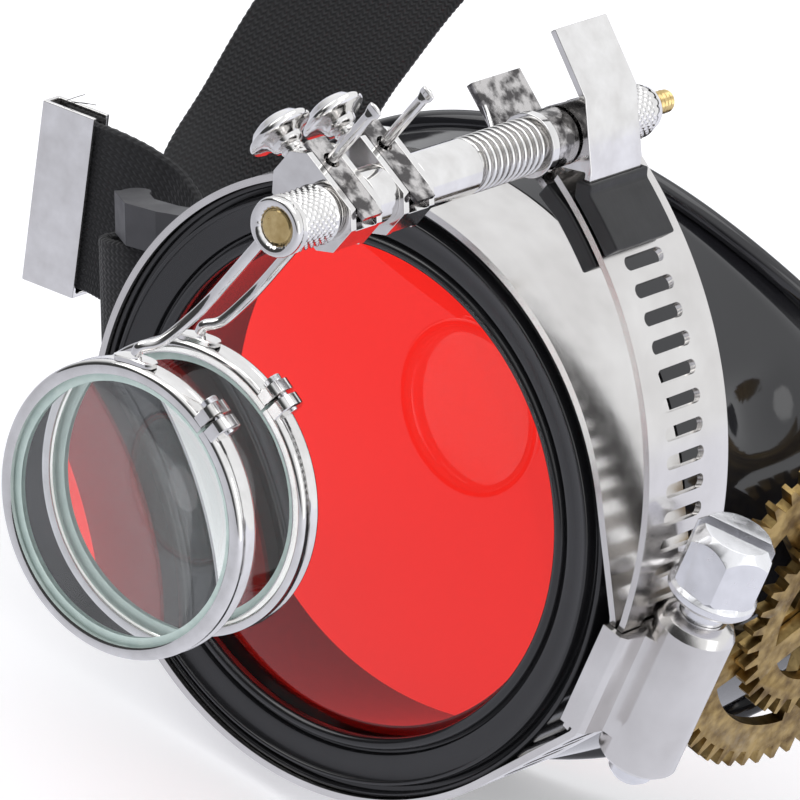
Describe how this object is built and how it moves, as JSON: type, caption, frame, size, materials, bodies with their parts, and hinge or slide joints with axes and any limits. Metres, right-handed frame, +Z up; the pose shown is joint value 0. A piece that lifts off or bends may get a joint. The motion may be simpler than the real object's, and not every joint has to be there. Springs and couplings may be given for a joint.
{
  "type": "steampunk goggle",
  "caption": "One-eyed steampunk goggle: black eye cup, red lens held by a worm-drive clamp, flip-down magnifier loupes, brass gears on the temple and an elastic head strap.",
  "frame": {"origin": "on the axis of the eye cup, in the plane of the front edge of the clamp band", "axes": "+Y back along the cup axis from the lens to the face, +Z up as worn, +X towards the temple side, which carries the clamp screw and the gears"},
  "size_m": [0.1168, 0.1606, 0.1096],
  "materials": {
    "cup_plastic": "gloss",
    "bezel_plastic": "gloss",
    "lug_plastic": "matte",
    "rubber": "satin",
    "red_glass": "clear",
    "clear_glass": "clear",
    "strap_fabric": "woven",
    "nickel": "polished",
    "dark_nickel": "mottled",
    "stainless": "satin",
    "zinc": "bright",
    "aged_brass": "aged",
    "dark_brass": "aged",
    "bright_brass": "bright"
  },
  "bodies": {
    "goggle": {"eye_cup": "cup_plastic", "bezel_ring": "bezel_plastic", "lens_gasket": "rubber", "red_lens": "red_glass", "nose_lug": "lug_plastic", "temple_lug": "lug_plastic", "head_strap": "strap_fabric", "strap_end_clip": "nickel", "clamp_band": "stainless", "clamp_housing": "stainless", "jaw_boot": "rubber", "large_gear": "aged_brass", "small_gear": "aged_brass", "gear_post": "dark_brass", "gear_washer": "dark_brass", "clip_jaw": "nickel", "spring_washer": "nickel", "pressure_sleeve": "nickel", "bracket_spacer": "nickel", "pivot_tube": "nickel", "threaded_rod": "bright_brass"},
    "clamp_worm": {"clamp_screw": "zinc"},
    "clip_lever_unit": {"clip_lever": "dark_nickel", "lever_boot": "rubber", "torsion_spring": "nickel"},
    "front_nut_body": {"front_nut": "nickel"},
    "rear_nut_body": {"rear_nut": "nickel"},
    "front_carrier": {"front_bracket": "nickel", "front_clamp_block": "nickel"},
    "front_loupe": {"front_arm": "nickel", "front_rim": "nickel", "front_glass": "clear_glass", "front_rim_screw": "zinc"},
    "front_thumb": {"front_thumb_screw": "nickel"},
    "rear_carrier": {"rear_bracket": "nickel", "rear_clamp_block": "nickel"},
    "rear_loupe": {"rear_arm": "nickel", "rear_rim": "nickel", "rear_glass": "clear_glass", "rear_rim_screw": "zinc"},
    "rear_thumb": {"rear_thumb_screw": "nickel"}
  },
  "joints": [
    {"name": "front_swing", "type": "hinge", "parent": "goggle", "child": "front_carrier", "pos_m": [0.012, -0.0331, 0.04501], "axis": [0, 1, 0], "range_deg": [-60, 110]},
    {"name": "front_slide", "type": "slide", "parent": "front_carrier", "child": "front_loupe", "axis": [0.4147, 0, 0.91], "range_m": [-0.007, 0.012]},
    {"name": "front_thumb_turn", "type": "hinge", "parent": "front_carrier", "child": "front_thumb", "pos_m": [0.00654, -0.0331, 0.0475], "axis": [-0.91, 0, 0.4147], "continuous": true},
    {"name": "rear_swing", "type": "hinge", "parent": "goggle", "child": "rear_carrier", "pos_m": [0.012, -0.0252, 0.04501], "axis": [0, 1, 0], "range_deg": [-60, 110]},
    {"name": "rear_slide", "type": "slide", "parent": "rear_carrier", "child": "rear_loupe", "axis": [0.4147, 0, 0.91], "range_m": [-0.007, 0.012]},
    {"name": "rear_thumb_turn", "type": "hinge", "parent": "rear_carrier", "child": "rear_thumb", "pos_m": [0.00654, -0.0252, 0.0475], "axis": [-0.91, 0, 0.4147], "continuous": true},
    {"name": "front_nut_turn", "type": "hinge", "parent": "goggle", "child": "front_nut_body", "pos_m": [0.012, -0.039, 0.04501], "axis": [0, 1, 0], "continuous": true},
    {"name": "rear_nut_turn", "type": "hinge", "parent": "goggle", "child": "rear_nut_body", "pos_m": [0.012, 0.012, 0.04501], "axis": [0, 1, 0], "continuous": true},
    {"name": "clamp_screw_turn", "type": "hinge", "parent": "goggle", "child": "clamp_worm", "pos_m": [0.03709, 0.00635, -0.00521], "axis": [0.1392, 0, 0.9903], "continuous": true},
    {"name": "clip_open", "type": "hinge", "parent": "goggle", "child": "clip_lever_unit", "pos_m": [0.012, 0, 0.04501], "axis": [0, 1, 0], "range_deg": [0, 22], "stiffness_Nm_per_rad": 0.01, "springref_deg": -22.92}
  ]
}
